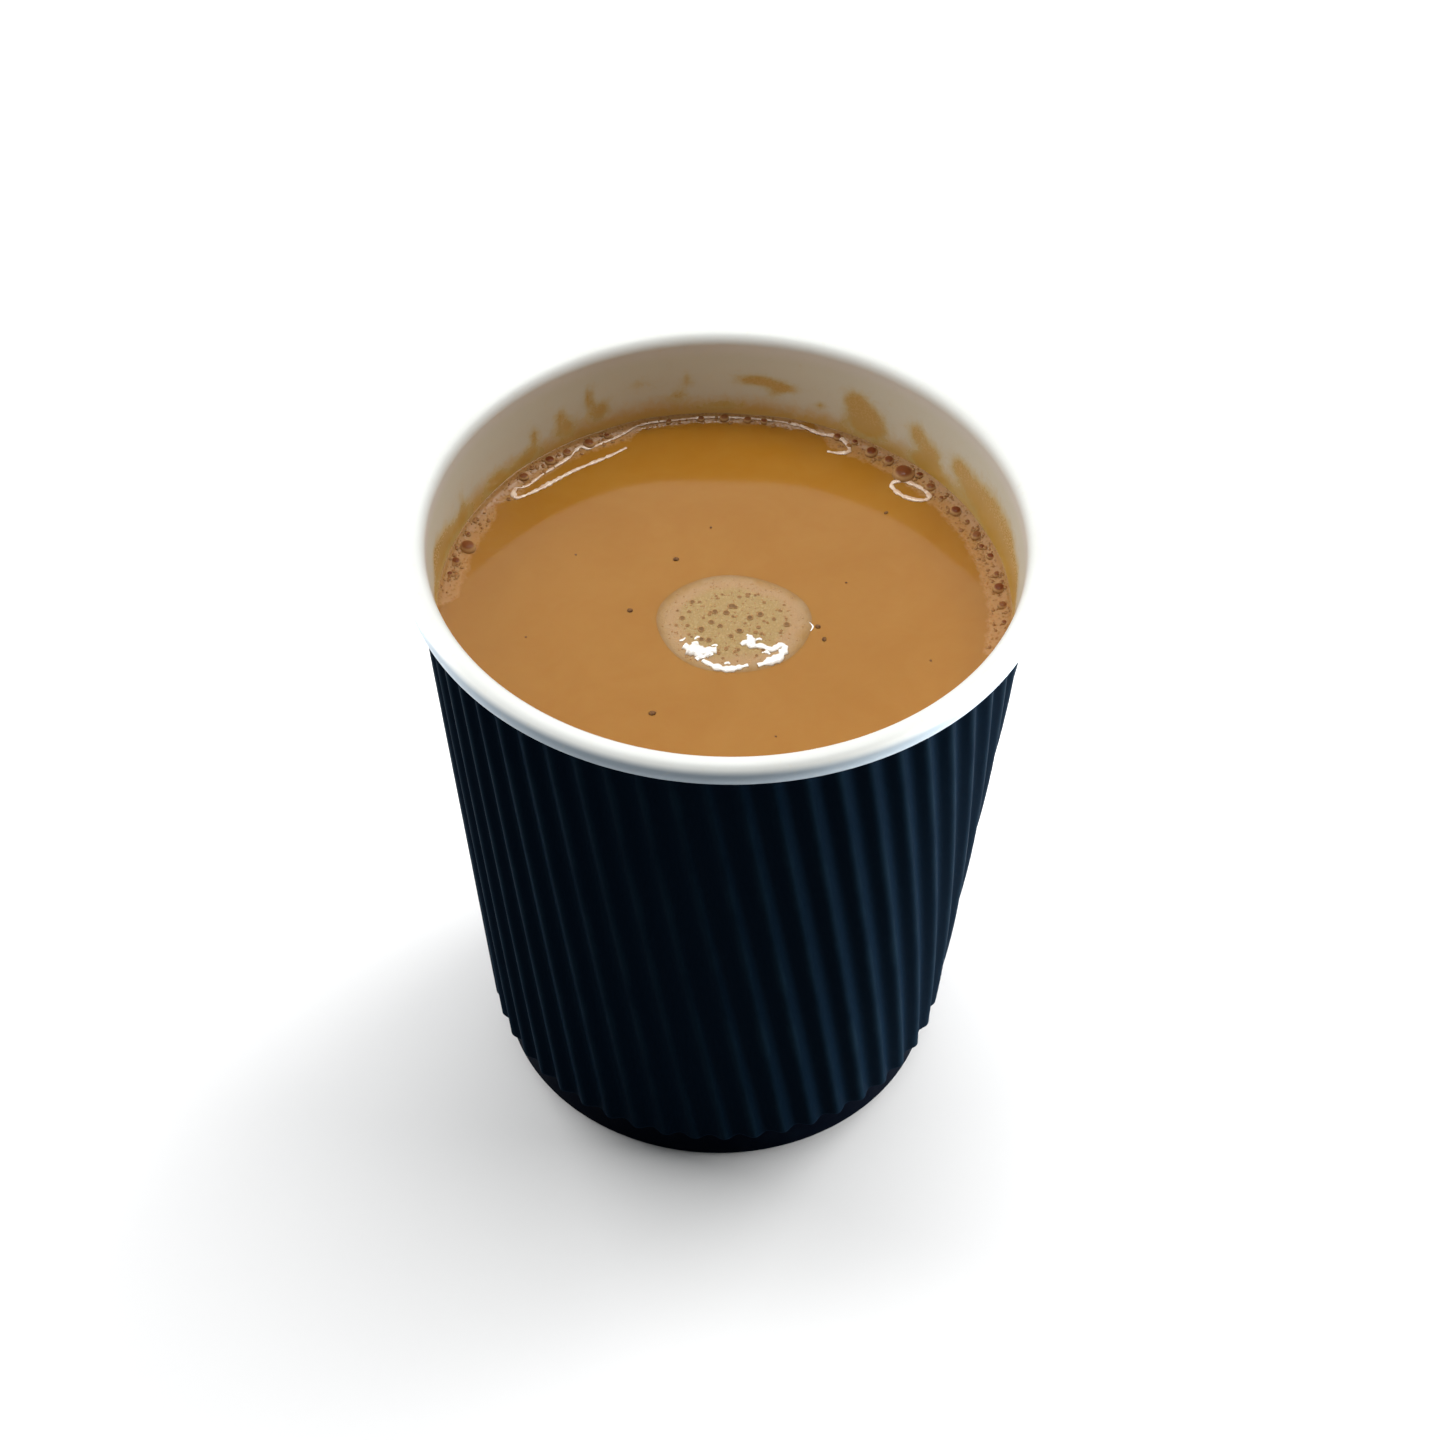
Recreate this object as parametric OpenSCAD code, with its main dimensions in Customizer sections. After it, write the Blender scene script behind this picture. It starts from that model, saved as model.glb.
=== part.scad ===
// Masala chai in an insulated paper cup. A white paper cup with a rolled rim and a
// recessed base wears a dark corrugated sleeve, and holds milky tea with a small raft
// of froth. Millimetres, +Z up, origin on the table under the middle of the cup.
// The parts of the drink and cup, from the table up, are cup_wall, cup_base,
// ripple_sleeve, tea and froth.

/* [Cup] */
// Height of the cup from the table to the top of the rim
cup_h = 87; // [70:1:110]
// Outer diameter over the rolled rim
rim_d = 80; // [66:1:100]
// Outer diameter of the paper wall where it stands on the table
base_d = 58; // [48:1:70]
// Thickness of the paper wall
wall_t = 0.4; // [0.3:0.05:0.7]
// Diameter of the roll at the rim
curl_d = 3.2; // [2.4:0.1:4]
// How far round the roll is turned, in degrees
curl_turn = 300; // [240:5:330]

/* [Base] */
// Height of the base's upper face above the table
base_lift = 7.5; // [5:0.5:12]
// Thickness of the base paper
base_t = 0.5; // [0.3:0.05:0.8]
// How far below the floor the wall's inward fold stops
fold_clear = 1; // [0.2:0.1:2]

/* [Sleeve] */
// Gap from the table to the sleeve's lower edge
sleeve_gap = 5.5; // [2:0.5:12]
// Gap from the underside of the roll to the sleeve's upper edge
sleeve_clear = 0.1; // [0.1:0.1:5]
// Thickness of the sleeve in the valleys between its ribs
sleeve_t = 0.35; // [0.2:0.05:0.8]
// Height of a rib above the valleys
rib_h = 0.85; // [0.4:0.05:1.4]
// Distance from one rib to the next, measured square to the ribs
rib_pitch = 3.85; // [3:0.05:7]
// Direction from the axis to the sleeve's seam, in degrees round from +X
seam_az = 4; // [-20:1:40]

/* [Tea] */
// Depth of the tea's level below the top of the rim
tea_drop = 12.9; // [6:0.1:40]
// How far the tea creeps up the wall
meniscus_h = 0.9; // [0.4:0.1:1.5]
// How far in from the wall that creep reaches
meniscus_w = 1.4; // [0.6:0.1:2.5]

/* [Froth] */
// Length of the froth raft across the cup
froth_x = 19.8; // [8:0.2:30]
// Width of the froth raft, front to back
froth_y = 17.6; // [8:0.2:30]
// Height of the froth above the tea
froth_h = 0.8; // [0.3:0.1:2]
// Place of the raft's middle from the cup's axis, to the right
froth_at_x = 1.1; // [-8:0.1:8]
// Place of the raft's middle from the cup's axis, to the back
froth_at_y = -2.7; // [-8:0.1:8]
// Unevenness of the raft's edge, as a share of its radius
froth_uneven = 0.015; // [0:0.005:0.08]

/* [Hidden] */

$fn = 96;
paper_white = [0.96, 0.96, 0.94];
sleeve_navy = [0.05, 0.09, 0.13];
tea_brown = [0.71, 0.50, 0.27];
froth_tan = [0.74, 0.60, 0.42];

// The wall is a cone from the table to the middle of the roll.
curl_z = cup_h - curl_d / 2;
wall_top_r = rim_d / 2 - curl_d + wall_t;
taper = (wall_top_r - base_d / 2) / curl_z;
function wall_r(z) = base_d / 2 + taper * z;
function bore_r(z) = wall_r(z) - wall_t;

// The base's floor, and the fold of the wall that grips the base's turned-down edge
floor_z = base_lift - base_t;
fold_z = floor_z - fold_clear;

// The sleeve is cut from a flat blank, a ring sector with its apex where the cone
// has its own. Its flutes run straight and parallel across that blank, so round the
// cup they slant more and more from the middle of the blank to the seam.
cone_half_angle = atan(taper);
sleeve_z0 = sleeve_gap;
sleeve_z1 = cup_h - curl_d - sleeve_clear;
rib_points = 6;
rib_bands = 5;
rib_step = rib_pitch / rib_points;
blank_half_angle = 180 * sin(cone_half_angle);
function valley_r(z) = wall_r(z) + sleeve_t;
function band_z(k) = sleeve_z0 + (sleeve_z1 - sleeve_z0) * k / rib_bands;
// Distance on the blank from its apex to the height z
function blank_r(z) = valley_r(z) / sin(cone_half_angle);
// Distance on the blank from its middle line to the seam at the height z
function blank_half_width(z) = blank_r(z) * sin(blank_half_angle);
// Number of steps from the middle line that stay clear of the seam
function steps(z) = floor(blank_half_width(z) / rib_step - 0.3);
// Direction round the cup, from the middle of the blank, of a distance u across it
function blank_az(u, z) = asin(u / blank_r(z)) / sin(cone_half_angle);
function rib_rise(u) = rib_h * (1 + cos(360 * u / rib_pitch)) / 2;
function round_point(r, az, z) = [r * cos(az + seam_az + 180), r * sin(az + seam_az + 180), z];
function rib_point(u, z) = round_point(valley_r(z) + rib_rise(u), blank_az(u, z), z);
function seam_point(z) = round_point(valley_r(z) + rib_rise(blank_half_width(z)), 180, z);
// One ring round the sleeve: the steps across the blank, then the seam
function ring(z) = [
    for (j = [-steps(z) : steps(z)]) rib_point(j * rib_step, z),
    seam_point(z)
];
function ring_start(k) = k == 0 ? 0 : ring_start(k - 1) + 2 * steps(band_z(k - 1)) + 2;
// Numbers of the ring's points: j steps from the middle line, and the seam
function on_ring(k, j) = ring_start(k) + steps(band_z(k)) + j;
function on_seam(k) = ring_start(k + 1) - 1;

// The sleeve's inner face is a cone of flat facets that just clear the wall.
lining_points = 72;
lining_start = ring_start(rib_bands + 1);
function lining_az(m) = 360 * m / lining_points - 180;
function lining(z) = [
    for (m = [0 : lining_points - 1])
        round_point(wall_r(z) / cos(180 / lining_points), lining_az(m), z)
];
// Direction of point i of a ring, and of the middle of the stretch that follows it
function ring_az(k, i) = let (n = steps(band_z(k)))
    i <= 2 * n ? blank_az((i - n) * rib_step, band_z(k)) :
    i == 2 * n + 1 ? 180 : 360 + blank_az(-n * rib_step, band_z(k));
function nearest_lining(k, i) = let (middle = (ring_az(k, i) + ring_az(k, i + 1)) / 2)
    round((middle + 180) * lining_points / 360) % lining_points;

// The tea
tea_z0 = base_lift;
tea_z1 = cup_h - tea_drop;
meniscus_steps = 5;

// The froth
froth_points = 48;
froth_rings = 4;
// The raft's edge wavers by two slow waves, three and five to the turn
function froth_edge(a) = 1 + froth_uneven * (sin(3 * a + 40) + 0.6 * sin(5 * a - 25));
// Its top is flat in the middle and rounds down at the edge
function froth_rise(s) = froth_h * sqrt(1 - pow(s, 4));
function froth_point(s, a) = [
    froth_x / 2 * s * froth_edge(a) * cos(a),
    froth_y / 2 * s * froth_edge(a) * sin(a),
    froth_rise(s)
];

module cup_wall() {
    color(paper_white) union() {
        rotate_extrude() wall_section();
        rotate_extrude() curl_section();
    }
}

// Paper wall from the table up to the roll, with its foot folded in and up again
module wall_section() {
    fold_in = wall_t + base_t;
    polygon([
        [wall_r(0), 0],
        [wall_top_r, curl_z],
        [wall_top_r - wall_t, curl_z],
        [bore_r(wall_t), wall_t],
        [bore_r(wall_t) - base_t, wall_t],
        [bore_r(fold_z) - base_t, fold_z],
        [bore_r(fold_z) - fold_in, fold_z],
        [bore_r(0) - fold_in, 0]
    ]);
}

// Rolled rim: a ring of paper, open where its end tucks in under itself
module curl_section() {
    roll_r = curl_d / 2;
    gap = 360 - curl_turn;
    reach = 2 * roll_r;
    translate([rim_d / 2 - roll_r, curl_z]) difference() {
        circle(r = roll_r);
        circle(r = roll_r - wall_t);
        polygon([
            [0, 0],
            [reach * cos(180 + gap), reach * sin(180 + gap)],
            [reach * cos(180 + gap / 2), reach * sin(180 + gap / 2)],
            [-reach, 0]
        ]);
    }
}

// Round floor of the cup with its edge turned down into the wall's fold
module cup_base() {
    color(paper_white) rotate_extrude() polygon([
        [0, floor_z],
        [bore_r(floor_z) - base_t, floor_z],
        [bore_r(wall_t) - base_t, wall_t],
        [bore_r(wall_t), wall_t],
        [bore_r(base_lift), base_lift],
        [0, base_lift]
    ]);
}

// Corrugated sleeve: ribbed outside, and a plain cone inside that hugs the cup
module ripple_sleeve() {
    points = [
        for (k = [0 : rib_bands]) each ring(band_z(k)),
        for (z = [sleeve_z0, sleeve_z1]) each lining(z)
    ];
    faces = [
        for (k = [0 : rib_bands - 1]) each band_faces(k),
        each edge_faces(0, 0),
        for (f = edge_faces(rib_bands, lining_points)) [f[2], f[1], f[0]],
        each lining_faces()
    ];
    color(sleeve_navy) polyhedron(points = points, faces = faces);
}

// Faces of a cut edge, from the ring of band k in to the lining's ring at shift
function edge_faces(k, shift) = let (
    count = 2 * steps(band_z(k)) + 2,
    near = [for (i = [0 : count - 1]) shift + nearest_lining(k, i)]
) [
    for (i = [0 : count - 1])
        let (here = ring_start(k) + i, next = ring_start(k) + (i + 1) % count)
            [here, next, lining_start + near[i]],
    for (i = [0 : count - 1])
        let (before = near[(i + count - 1) % count])
            if (near[i] != before)
                [ring_start(k) + i, lining_start + near[i], lining_start + before]
];

function lining_faces() = [
    for (m = [0 : lining_points - 1])
        let (low = lining_start, high = low + lining_points, next = (m + 1) % lining_points)
            each [
                [low + m, low + next, high + next],
                [low + m, high + next, high + m]
            ]
];

// Faces between one ring and the next. The upper ring has more steps, and those that
// the lower one lacks fan out from its seam.
function band_faces(k) = let (low = steps(band_z(k)), high = steps(band_z(k + 1))) [
    for (j = [-low : low - 1])
        each [
            [on_ring(k, j), on_ring(k + 1, j + 1), on_ring(k, j + 1)],
            [on_ring(k, j), on_ring(k + 1, j), on_ring(k + 1, j + 1)]
        ],
    for (j = [low : high - 1]) if (high > low)
        each [
            [on_seam(k), on_ring(k + 1, j), on_ring(k + 1, j + 1)],
            [on_seam(k), on_ring(k + 1, -j - 1), on_ring(k + 1, -j)]
        ],
    [on_ring(k, low), on_ring(k + 1, low), on_seam(k)],
    [on_ring(k + 1, high), on_seam(k + 1), on_seam(k)],
    [on_seam(k), on_ring(k + 1, -low), on_ring(k, -low)],
    [on_seam(k), on_seam(k + 1), on_ring(k + 1, -high)]
];

// The drink, from the cup's floor to its level, with its edge drawn up the wall
module tea() {
    edge_z = tea_z1 + meniscus_h;
    color(tea_brown) rotate_extrude() polygon([
        [0, tea_z0],
        [bore_r(tea_z0), tea_z0],
        [bore_r(edge_z), edge_z],
        for (i = [1 : meniscus_steps])
            let (a = 90 * i / meniscus_steps)
                [bore_r(edge_z) - meniscus_w * (1 - cos(a)), edge_z - meniscus_h * sin(a)],
        [0, tea_z1]
    ]);
}

// Raft of fine bubbles that floats on the tea, a little off the cup's middle
module froth() {
    count = froth_points;
    points = [
        for (i = [1 : froth_rings])
            for (j = [0 : count - 1])
                froth_point(sin(90 * i / froth_rings), 360 * j / count),
        [0, 0, froth_h]
    ];
    faces = [
        [for (j = [0 : count - 1]) (froth_rings - 1) * count + j],
        for (j = [0 : count - 1]) [count * froth_rings, (j + 1) % count, j],
        for (i = [0 : froth_rings - 2])
            for (j = [0 : count - 1])
                let (next = (j + 1) % count)
                    each [
                        [i * count + j, i * count + next, (i + 1) * count + next],
                        [i * count + j, (i + 1) * count + next, (i + 1) * count + j]
                    ]
    ];
    color(froth_tan) translate([froth_at_x, froth_at_y, tea_z1])
        polyhedron(points = points, faces = faces);
}

cup_wall();
cup_base();
ripple_sleeve();
tea();
froth();
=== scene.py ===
import math
import random
import bpy
import numpy as np
from mathutils import Matrix, Vector


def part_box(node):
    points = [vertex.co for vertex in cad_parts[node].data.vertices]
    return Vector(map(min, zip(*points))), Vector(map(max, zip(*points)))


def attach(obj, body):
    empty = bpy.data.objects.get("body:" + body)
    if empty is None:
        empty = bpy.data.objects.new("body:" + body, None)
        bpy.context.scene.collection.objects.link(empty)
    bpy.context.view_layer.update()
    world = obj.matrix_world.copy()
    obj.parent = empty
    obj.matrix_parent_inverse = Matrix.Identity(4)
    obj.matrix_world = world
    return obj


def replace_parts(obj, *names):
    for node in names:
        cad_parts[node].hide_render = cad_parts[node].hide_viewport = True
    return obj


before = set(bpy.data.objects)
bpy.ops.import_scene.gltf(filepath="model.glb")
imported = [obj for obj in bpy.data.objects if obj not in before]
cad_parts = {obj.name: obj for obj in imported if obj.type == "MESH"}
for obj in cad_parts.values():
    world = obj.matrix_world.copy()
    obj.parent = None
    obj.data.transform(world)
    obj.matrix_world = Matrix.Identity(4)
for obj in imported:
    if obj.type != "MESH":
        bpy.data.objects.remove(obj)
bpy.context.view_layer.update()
mm = 0.001

# sizes of the cup that its pieces share, in mm; the rest is read from the frame
cup = {
    "footDiameter": 58.0,     # the wall's outside where it stands
    "board": 0.4,             # thickness of the paper board
    "rollDiameter": 3.2,      # the rolled rim
    "rollTurn": 300.0,        # how far round it is rolled, degrees
    "basePaper": 0.5,
    "foldClear": 1.0,         # the wall's fold stops this far below the floor
    "insideBox": 0.02,        # the roll stays this far inside the frame's box
    "around": 320,            # steps round the cup
}


def extent(node):
    low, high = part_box(node)
    return Vector(low) / mm, Vector(high) / mm


rimRadius = extent("cup_wall")[1].x - cup["insideBox"]
cupHeight = extent("cup_wall")[1].z
floorTop = extent("cup_base")[1].z
sleeveLow, sleeveHigh = extent("ripple_sleeve")[0].z, extent("ripple_sleeve")[1].z
frothLow, frothHigh = extent("froth")
teaLevel = frothLow.z

rollRadius = cup["rollDiameter"] / 2
rollHeight = cupHeight - rollRadius
taper = (rimRadius - 2 * rollRadius + cup["board"] - cup["footDiameter"] / 2) / rollHeight


def wallRadius(z):
    return cup["footDiameter"] / 2 + taper * z


def boreRadius(z):
    return wallRadius(z) - cup["board"]


def onCircle(radius, degrees, z):
    turn = math.radians(degrees)
    return Vector((radius * math.cos(turn), radius * math.sin(turn), z))


def waver(waves, turn):
    # sum of slow waves round the cup, each given by its height, number and phase
    return sum(height * math.sin(number * turn + phase) for height, number, phase in waves)


def within(value):
    return min(1.0, max(0.0, value))


class Wire:
    # an output socket; sums of wires and numbers add their own Math nodes
    def __init__(self, tree, socket=None):
        self.tree, self.socket = tree, socket

    def make(self, kind, settings=None, sockets=None, out=0):
        node = self.tree.nodes.new(kind)
        for name, value in (settings or {}).items():
            if name == "stops":
                ramp = node.color_ramp.elements
                while len(ramp) < len(value):
                    ramp.new(0.5)
                for stop, (place, colour) in zip(ramp, value):
                    stop.position, stop.color = place, colour
            else:
                setattr(node, name, value)
        for key, value in (sockets or {}).items():
            if isinstance(value, Wire):
                self.tree.links.new(value.socket, node.inputs[key])
            else:
                node.inputs[key].default_value = value
        return Wire(self.tree, node.outputs[out] if node.outputs else None)

    def math(self, operation, *values, clamp=False):
        sockets = dict(enumerate((self,) + values))
        return self.make("ShaderNodeMath", {"operation": operation, "use_clamp": clamp}, sockets)

    def __add__(self, other):
        return self.math("ADD", other)

    def __radd__(self, other):
        return self.math("ADD", other)

    def __sub__(self, other):
        return self.math("SUBTRACT", other)

    def __rsub__(self, other):
        return self.make("ShaderNodeMath", {"operation": "SUBTRACT"}, {0: other, 1: self})

    def __mul__(self, other):
        return self.math("MULTIPLY", other)

    def __rmul__(self, other):
        return self.math("MULTIPLY", other)

    def __truediv__(self, other):
        return self.math("DIVIDE", other)

    def smooth(self, low, high):
        # 0 below low, 1 above high, eased between; low may be above high
        span = {1: low, 2: high, 3: 0.0, 4: 1.0}
        if low > high:
            span = {1: high, 2: low, 3: 1.0, 4: 0.0}
        settings = {"interpolation_type": "SMOOTHSTEP"}
        return self.make("ShaderNodeMapRange", settings, {0: self, **span})

    def tint(self, colour, other):
        # this value blends one colour into the other
        settings = {"data_type": "RGBA"}
        return self.make("ShaderNodeMix", settings, {0: self, 6: colour, 7: other}, out=2)


def newMaterial(name, constants, build):
    # constants go on the shader's own sockets; build gives the ones that vary
    material = bpy.data.materials.new(name)
    material.use_nodes = True
    tree = material.node_tree
    tree.nodes.clear()
    start = Wire(tree)
    place = start.make("ShaderNodeTexCoord", out="Object")
    sockets = dict(constants)
    sockets.update(build(start, place))
    shader = start.make("ShaderNodeBsdfPrincipled", None, sockets)
    start.make("ShaderNodeOutputMaterial", None, {"Surface": shader})
    return material


def noise(start, place, size, detail=2.0, rough=0.5, warp=0.0):
    # size is the width of one blotch, in mm
    sockets = {"Vector": place, "Scale": 1 / (size * mm), "Detail": detail,
               "Roughness": rough, "Distortion": warp}
    return start.make("ShaderNodeTexNoise", None, sockets)


def bubbles(start, place, size):
    # 0 at the middle of each bubble, with size as their spacing in mm
    return start.make("ShaderNodeTexVoronoi", None, {"Vector": place, "Scale": 1 / (size * mm)})


def bump(start, height, depth, strength):
    # depth is the relief in mm for a height of 1
    sockets = {"Strength": strength, "Distance": depth * mm, "Height": height}
    return start.make("ShaderNodeBump", None, sockets)


def axisPart(start, place, axis):
    return start.make("ShaderNodeSeparateXYZ", None, {0: place}, out=axis)


def attribute(start, name):
    settings = {"attribute_type": "GEOMETRY", "attribute_name": name}
    return start.make("ShaderNodeAttribute", settings, out="Fac")


def newPiece(name, points, faces, material=None, smooth=True):
    mesh = bpy.data.meshes.new(name)
    mesh.from_pydata([tuple(p) for p in points], [], faces)
    mesh.validate()
    mesh.update()
    if smooth:
        mesh.polygons.foreach_set("use_smooth", [True] * len(mesh.polygons))
    if material:
        mesh.materials.append(material)
    piece = bpy.data.objects.new(name, mesh)
    bpy.context.scene.collection.objects.link(piece)
    return piece


def addAttribute(piece, name, values):
    layer = piece.data.attributes.new(name, "FLOAT", "POINT")
    layer.data.foreach_set("value", np.asarray(values, np.float32))


def turnProfile(profile, count):
    # points and faces of a closed profile of (radius, height) turned round Z
    turns = [2 * math.pi * i / count for i in range(count)]
    points = [(r * math.cos(t), r * math.sin(t), z) for t in turns for r, z in profile]
    rows = len(profile)
    faces = []
    for i in range(count):
        here, there = i * rows, (i + 1) % count * rows
        for j in range(rows):
            k = (j + 1) % rows
            faces.append((here + j, there + j, there + k, here + k))
    return points, faces


def newTree(name, inputs):
    # a geometry tree with these named inputs, and the wires that leave them
    tree = bpy.data.node_groups.new(name, "GeometryNodeTree")
    sides = tree.interface
    sides.new_socket("Geometry", in_out="INPUT", socket_type="NodeSocketGeometry")
    sides.new_socket("Geometry", in_out="OUTPUT", socket_type="NodeSocketGeometry")
    for label, value in inputs.items():
        kind = {int: "Int", float: "Float"}.get(type(value), "Material")
        sides.new_socket(label, in_out="INPUT", socket_type="NodeSocket" + kind)
    entry = tree.nodes.new("NodeGroupInput")
    return tree, {out.name: Wire(tree, out) for out in entry.outputs if out.name}


def endTree(start, geometry, material):
    # every tree ends in plain, smooth, painted geometry
    geometry = start.make("GeometryNodeRealizeInstances", None, {0: geometry})
    geometry = start.make("GeometryNodeSetShadeSmooth", None, {0: geometry})
    geometry = start.make("GeometryNodeSetMaterial", None, {0: geometry, "Material": material})
    start.make("NodeGroupOutput", None, {0: geometry})


def grow(piece, tree, values):
    # runs the tree on the piece and leaves a plain mesh
    modifier = piece.modifiers.new(tree.name, "NODES")
    modifier.node_group = tree
    for item in tree.interface.items_tree:
        if item.in_out == "INPUT" and item.name in values:
            modifier[item.identifier] = values[item.name]
    return settle(piece)


def settle(piece):
    # the piece keeps what its modifiers make of it, and loses them
    shown = piece.evaluated_get(bpy.context.evaluated_depsgraph_get())
    mesh = bpy.data.meshes.new_from_object(shown)
    piece.modifiers.clear()
    piece.data = mesh
    return piece


def named(start, name):
    settings = {"data_type": "FLOAT"}
    return start.make("GeometryNodeInputNamedAttribute", settings, {"Name": name})


def keep(start, geometry, name, value):
    settings = {"data_type": "FLOAT", "domain": "POINT"}
    sockets = {0: geometry, "Name": name, "Value": value}
    return start.make("GeometryNodeStoreNamedAttribute", settings, sockets)


cameraLook = {
    "rise": 43.18,         # degrees above the level, seen from the rim's middle
    "away": 442.3,         # mm from the rim's middle
    "aimBelow": 33.15,     # the aim lies this far below the rim, mm
    "aimAside": -0.29,
    "tilt": 1.25,          # the camera leans by this, degrees
    "lens": 90.4,
}


def addCamera():
    rise, tilt = math.radians(cameraLook["rise"]), math.radians(cameraLook["tilt"])
    rim = Vector((0, 0, cupHeight))
    spot = rim + cameraLook["away"] * Vector((0, -math.cos(rise), math.sin(rise)))
    aim = rim + Vector((cameraLook["aimAside"], 0, -cameraLook["aimBelow"]))
    forward = (aim - spot).normalized()
    right = forward.cross(Vector((0, 0, 1))).normalized()
    up = right.cross(forward)
    right, up = (math.cos(tilt) * right + math.sin(tilt) * up,
                 math.cos(tilt) * up - math.sin(tilt) * right)
    camera = bpy.data.objects.new("camera", bpy.data.cameras.new("camera"))
    camera.data.lens = cameraLook["lens"]
    camera.data.sensor_width = 36.0
    camera.data.clip_start = 0.01
    turn = Matrix((right, up, -forward)).transposed().to_4x4()
    camera.matrix_world = Matrix.Translation(spot * mm) @ turn
    bpy.context.scene.collection.objects.link(camera)
    bpy.context.scene.camera = camera


# each light: where it hangs (direction round, degrees above the level, metres away), its
# width and height, how its width is turned, and how bright it looks
lightPlan = {
    "overhead": {"from": (53.5, 72.3, 1.1), "size": (1.17, 0.24), "spin": 19, "glow": 7.4},
    "behind": {"from": (90, 55, 1.5), "size": (2.8, 1.8), "spin": 180, "glow": 1.25},
    "above left": {"from": (172, 38, 1.2), "size": (1.2, 0.7), "spin": 262, "glow": 1.7},
    "right": {"from": (22, 0, 0.33), "size": (0.44, 0.076), "spin": 112, "glow": 80.0},
    "left": {"from": (141, 0, 0.33), "size": (0.3, 0.076), "spin": 231, "glow": 60.0},
}
studio = {"tone": (0.9, 0.95, 1.0, 1), "glow": 0.2}    # the even light all round
floorLook = {
    "pale": (0.575, 0.575, 0.575, 1),
    "cloud": (0.59, 0.59, 0.587, 1),
    "cloudSize": 90.0,     # mm
    "reach": 3.0,          # metres from the middle to each edge
}


def addLights():
    middle = Vector((0, 0, cupHeight / 2))
    for name, plan in lightPlan.items():
        width, height = plan["size"]
        lamp = bpy.data.lights.new(name, "AREA")
        lamp.shape = "RECTANGLE"
        lamp.size, lamp.size_y = width, height
        lamp.energy = plan["glow"] * math.pi * width * height
        light = bpy.data.objects.new(name, lamp)
        turn, rise, away = plan["from"]
        back = onCircle(math.cos(math.radians(rise)), turn, math.sin(math.radians(rise)))
        side = onCircle(1, plan["spin"], 0)
        side = (side - side.dot(back) * back).normalized()
        facing = Matrix((side, back.cross(side), back)).transposed().to_4x4()
        light.matrix_world = Matrix.Translation(middle * mm + back * away) @ facing
        bpy.context.scene.collection.objects.link(light)
    world = bpy.data.worlds.new("studio")
    world.use_nodes = True
    sky = world.node_tree.nodes["Background"].inputs
    sky["Color"].default_value, sky["Strength"].default_value = studio["tone"], studio["glow"]
    bpy.context.scene.world = world
    bpy.context.scene.view_settings.view_transform = "Standard"


def addFloor():
    def look(start, place):
        cloud = noise(start, place, floorLook["cloudSize"]).smooth(0.3, 0.7)
        return {"Base Color": cloud.tint(floorLook["pale"], floorLook["cloud"])}
    material = newMaterial("paleFloor", {"Roughness": 0.7}, look)
    reach = floorLook["reach"]
    corners = [(-reach, -reach, 0), (reach, -reach, 0), (reach, reach, 0), (-reach, reach, 0)]
    newPiece("floor", corners, [(0, 1, 2, 3)], material)


cupFinish = {
    "white": (0.85, 0.86, 0.82, 1),
    "whiteWarm": (0.81, 0.815, 0.77, 1),     # the board's tone wanders between these two
    "lining": (0.78, 0.8, 0.7, 1),           # the board's inside has yellowed a little
    "underRoll": (0.3, 0.36, 0.41, 1),       # painted shade: the roll is greyer towards its underside
    "greyFrom": 45.0,                        # the grey begins at this lean, in degrees
    "greyOver": 25.0,                        # and is full this much further down
    "stainPale": (0.66, 0.53, 0.22, 1),
    "stainDeep": (0.64, 0.39, 0.08, 1),
    "film": (0.68, 0.42, 0.12, 1),           # dried tea just above its level
    "filmEnds": (4.6, 1.2),                  # mm above the level where it ends and is full
    "haze": 0.12,                            # share of the film that reaches higher
    "hazeEnds": (9.5, 3.0),
    "footDark": (0.0004, 0.0012, 0.0035, 1),      # the cup's foot, near-black below the sleeve
    "footDarkMottle": (0.001, 0.003, 0.006, 1),
    "footDarkTop": 12.0,                          # the near-black ends under the sleeve, mm
}

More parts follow.
